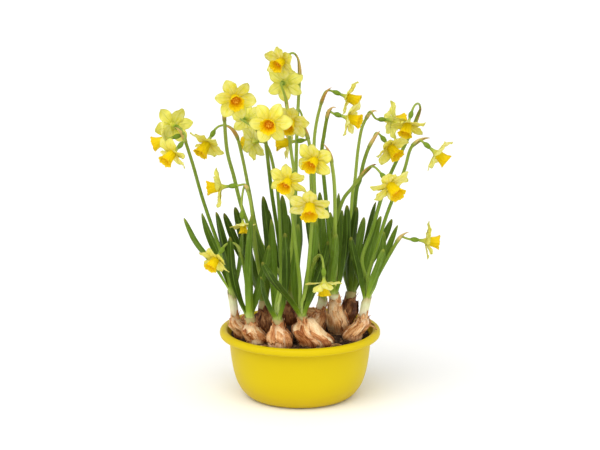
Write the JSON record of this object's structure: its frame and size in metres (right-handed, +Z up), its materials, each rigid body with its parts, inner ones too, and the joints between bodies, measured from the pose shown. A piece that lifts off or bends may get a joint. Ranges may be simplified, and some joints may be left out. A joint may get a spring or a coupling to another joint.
{
  "type": "bulb plants in a bowl",
  "caption": "Small daffodil plants in flower, their bulbs half buried in soil in a low round bowl with a rolled rim that stands on its flat base.",
  "frame": {"origin": "centre of the bowl's flat underside", "axes": "+Z up through the bowl's axis; -Y is the front, the side with the lowest hanging flower; +X to the viewer's right"},
  "size_m": [0.2985, 0.1813, 0.3578],
  "materials": {
    "bowl_plastic": "satin moulded yellow plastic",
    "potting_soil": "moist dark potting soil, matte and crumbly",
    "bulb_skin": "papery tan skins over a paler bulb, dull with a faint silky sheen",
    "leaf_green": "fleshy strap leaf, satin with a slight blue bloom",
    "stalk_green": "ribbed green flower stalk, satin",
    "petal_yellow": "soft translucent petal, lemon petals round a deeper yellow cup"
  },
  "bodies": {
    "root": {"bowl": "bowl_plastic", "potting_soil": "potting_soil", "bulb_01": "bulb_skin", "bulb_02": "bulb_skin", "bulb_03": "bulb_skin", "bulb_04": "bulb_skin", "bulb_05": "bulb_skin", "bulb_06": "bulb_skin", "bulb_07": "bulb_skin", "bulb_08": "bulb_skin", "bulb_09": "bulb_skin", "bulb_10": "bulb_skin", "leaves_01": "leaf_green", "leaves_02": "leaf_green", "leaves_03": "leaf_green", "leaves_04": "leaf_green", "leaves_05": "leaf_green", "leaves_06": "leaf_green", "leaves_07": "leaf_green", "leaves_08": "leaf_green", "leaves_09": "leaf_green", "leaves_10": "leaf_green", "stalks_01": "stalk_green", "stalks_02": "stalk_green", "stalks_03": "stalk_green", "stalks_04": "stalk_green", "stalks_05": "stalk_green", "stalks_06": "stalk_green", "stalks_07": "stalk_green", "stalks_08": "stalk_green", "stalks_09": "stalk_green", "stalks_10": "stalk_green", "flower_01": "petal_yellow", "flower_02": "petal_yellow", "flower_03": "petal_yellow", "flower_04": "petal_yellow", "flower_05": "petal_yellow", "flower_06": "petal_yellow", "flower_07": "petal_yellow", "flower_08": "petal_yellow", "flower_09": "petal_yellow", "flower_10": "petal_yellow", "flower_11": "petal_yellow", "flower_12": "petal_yellow", "flower_13": "petal_yellow", "flower_14": "petal_yellow", "flower_15": "petal_yellow", "flower_16": "petal_yellow", "flower_17": "petal_yellow", "flower_18": "petal_yellow", "flower_19": "petal_yellow", "flower_20": "petal_yellow", "flower_21": "petal_yellow", "flower_22": "petal_yellow", "flower_23": "petal_yellow", "flower_24": "petal_yellow", "flower_25": "petal_yellow", "flower_26": "petal_yellow", "flower_27": "petal_yellow"}
  },
  "joints": []
}
